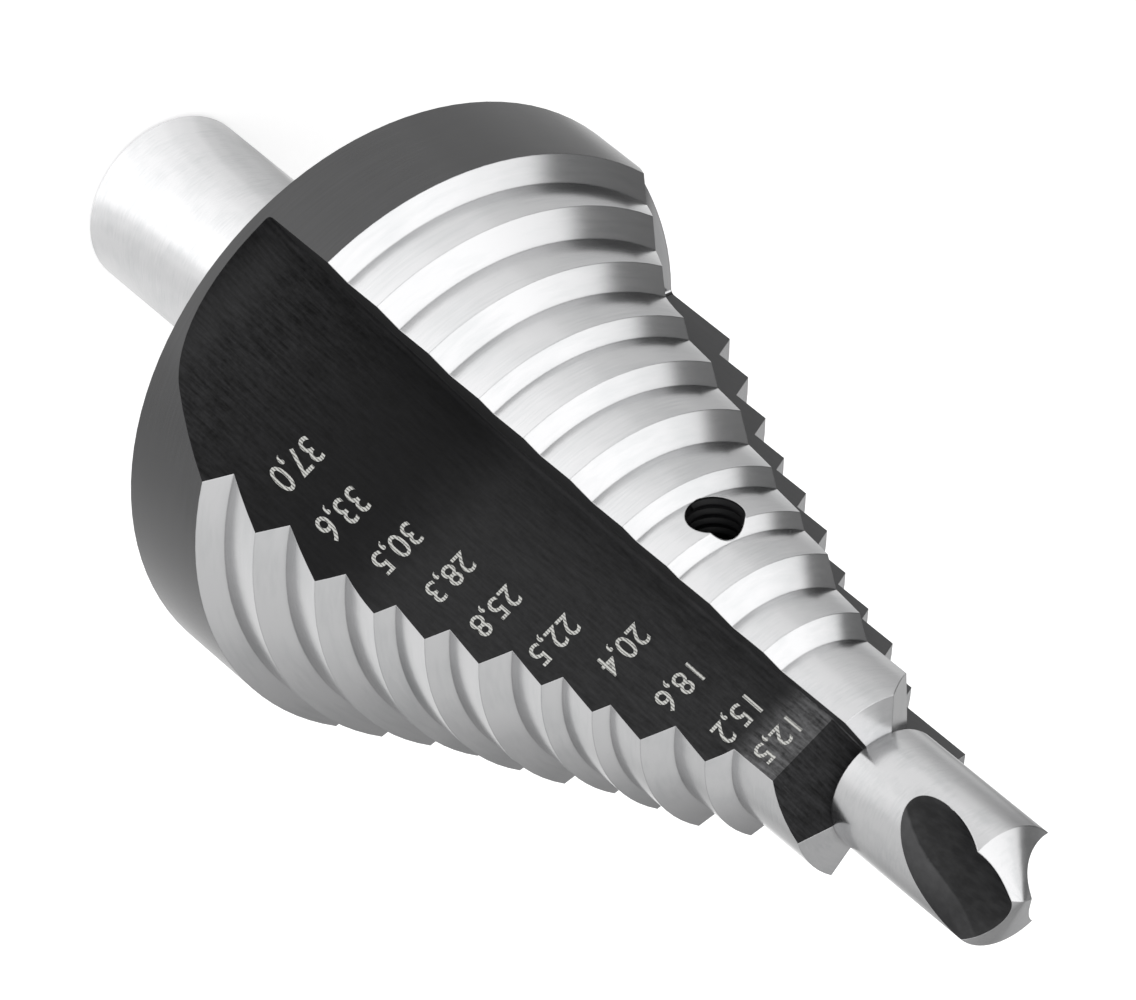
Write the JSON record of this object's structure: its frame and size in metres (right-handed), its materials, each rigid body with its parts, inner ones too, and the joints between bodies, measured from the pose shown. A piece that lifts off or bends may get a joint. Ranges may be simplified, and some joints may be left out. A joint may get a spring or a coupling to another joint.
{
  "type": "step drill",
  "caption": "Step drill with a plain round shank, a wide collar, stepped cutting diameters with straight flutes, and a replaceable pilot drill held by a set screw.",
  "frame": {"origin": "centre of the shank's end face", "axes": "+Z along the tool's axis, from the shank's end to the point; +Y through the floor of one flute, whose flat rake face lies beside the YZ plane"},
  "size_m": [0.04, 0.04, 0.0906],
  "materials": {
    "tool_steel": "ground",
    "screw_steel": "black oxide"
  },
  "bodies": {
    "root": {"body": "tool_steel", "pilot_drill": "tool_steel", "set_screw": "screw_steel"}
  },
  "joints": []
}
